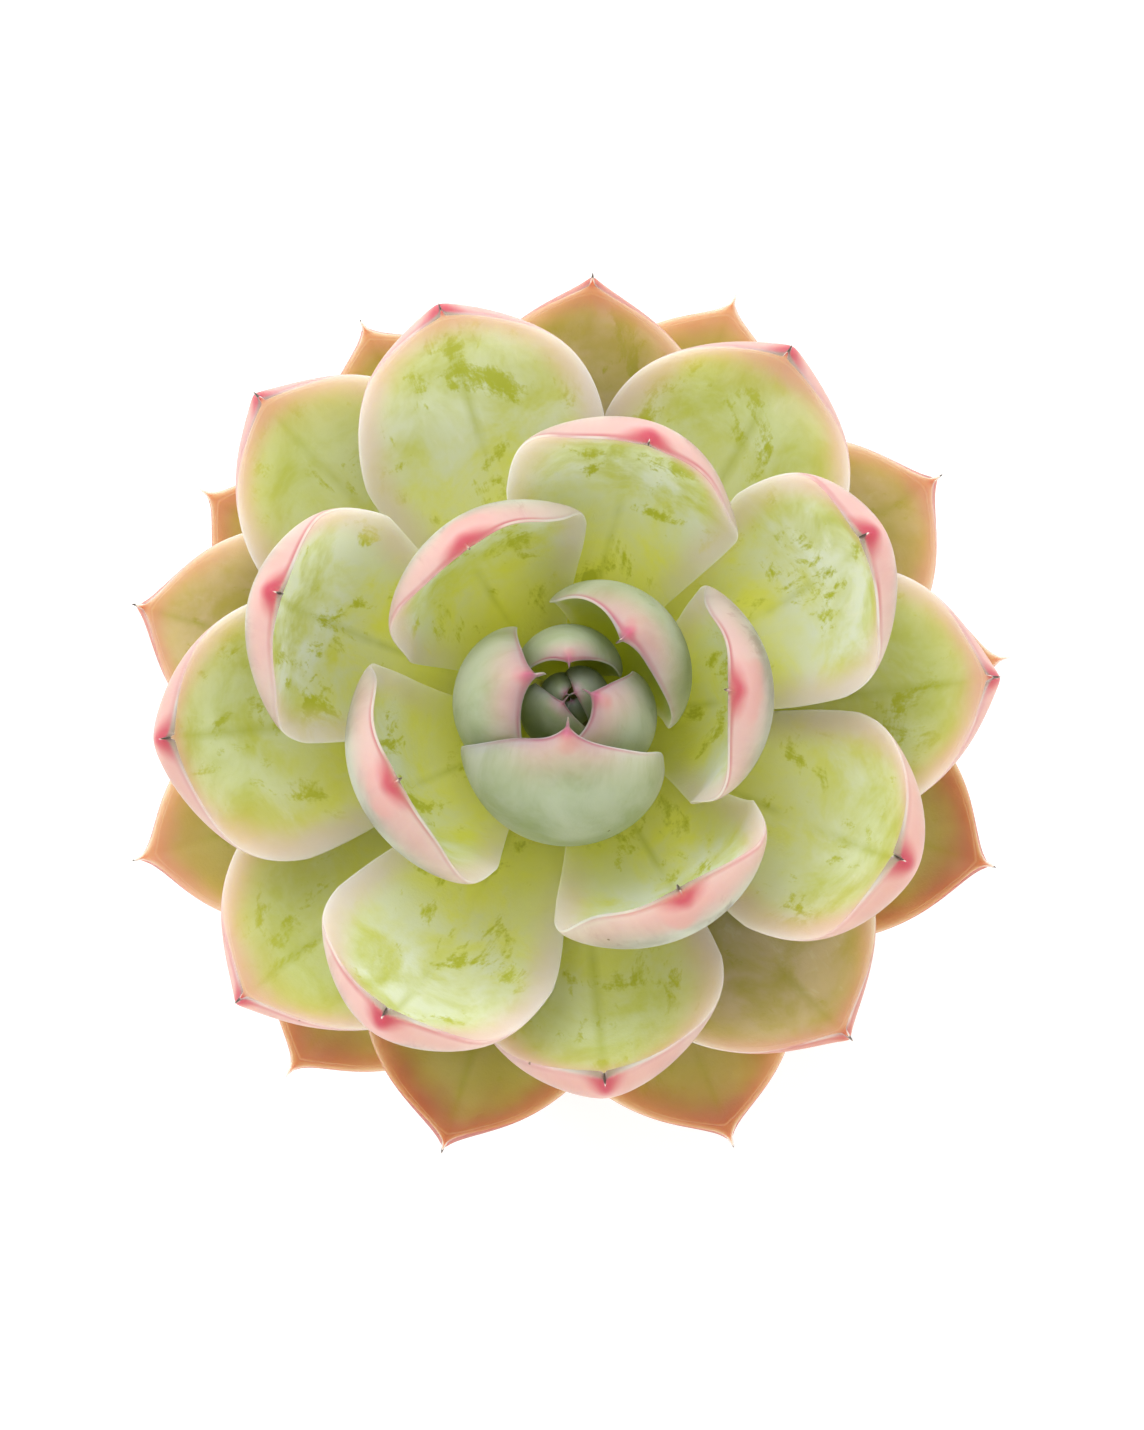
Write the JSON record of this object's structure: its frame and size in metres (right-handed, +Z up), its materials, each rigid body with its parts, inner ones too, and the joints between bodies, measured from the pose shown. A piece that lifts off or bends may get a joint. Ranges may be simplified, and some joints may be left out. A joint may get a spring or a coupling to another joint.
{
  "type": "potted succulent",
  "caption": "Low echeveria rosette of thick, cupped, pointed leaves spiralling from a closed bud, on a short stem in soil in a plain tapered clay pot with a collar.",
  "frame": {"origin": "middle of the pot's flat underside, on the stem's axis", "axes": "+Z up along the stem and the pot's axis, -Y to the front, +X to the right seen from the front"},
  "size_m": [0.1132, 0.1108, 0.1348],
  "materials": {
    "leaf_heart": "grey-green fleshy leaf with a waxy bloom and a pink tip, semi-matte",
    "leaf_ring": "pale yellow-green fleshy leaf with a minty waxy bloom and a rose margin, semi-matte",
    "leaf_outer": "yellow-green fleshy leaf flushed salmon toward its end, semi-matte",
    "stem": "soft green-brown bark with leaf scars, matte",
    "soil": "dark gritty potting soil, matte",
    "clay": "unglazed fired clay, matte"
  },
  "bodies": {
    "root": {"leaf_01": "leaf_heart", "leaf_02": "leaf_heart", "leaf_03": "leaf_heart", "leaf_04": "leaf_heart", "leaf_05": "leaf_heart", "leaf_06": "leaf_heart", "leaf_07": "leaf_heart", "leaf_08": "leaf_heart", "leaf_09": "leaf_heart", "leaf_10": "leaf_ring", "leaf_11": "leaf_ring", "leaf_12": "leaf_ring", "leaf_13": "leaf_ring", "leaf_14": "leaf_ring", "leaf_15": "leaf_ring", "leaf_16": "leaf_ring", "leaf_17": "leaf_ring", "leaf_18": "leaf_ring", "leaf_19": "leaf_ring", "leaf_20": "leaf_ring", "leaf_21": "leaf_ring", "leaf_22": "leaf_ring", "leaf_23": "leaf_ring", "leaf_24": "leaf_ring", "leaf_25": "leaf_ring", "leaf_26": "leaf_outer", "leaf_27": "leaf_outer", "leaf_28": "leaf_outer", "leaf_29": "leaf_outer", "leaf_30": "leaf_outer", "leaf_31": "leaf_outer", "leaf_32": "leaf_outer", "leaf_33": "leaf_outer", "leaf_34": "leaf_outer", "leaf_35": "leaf_outer", "leaf_36": "leaf_outer", "leaf_37": "leaf_outer", "leaf_38": "leaf_outer", "stem": "stem", "potting_soil": "soil", "pot": "clay"}
  },
  "joints": []
}
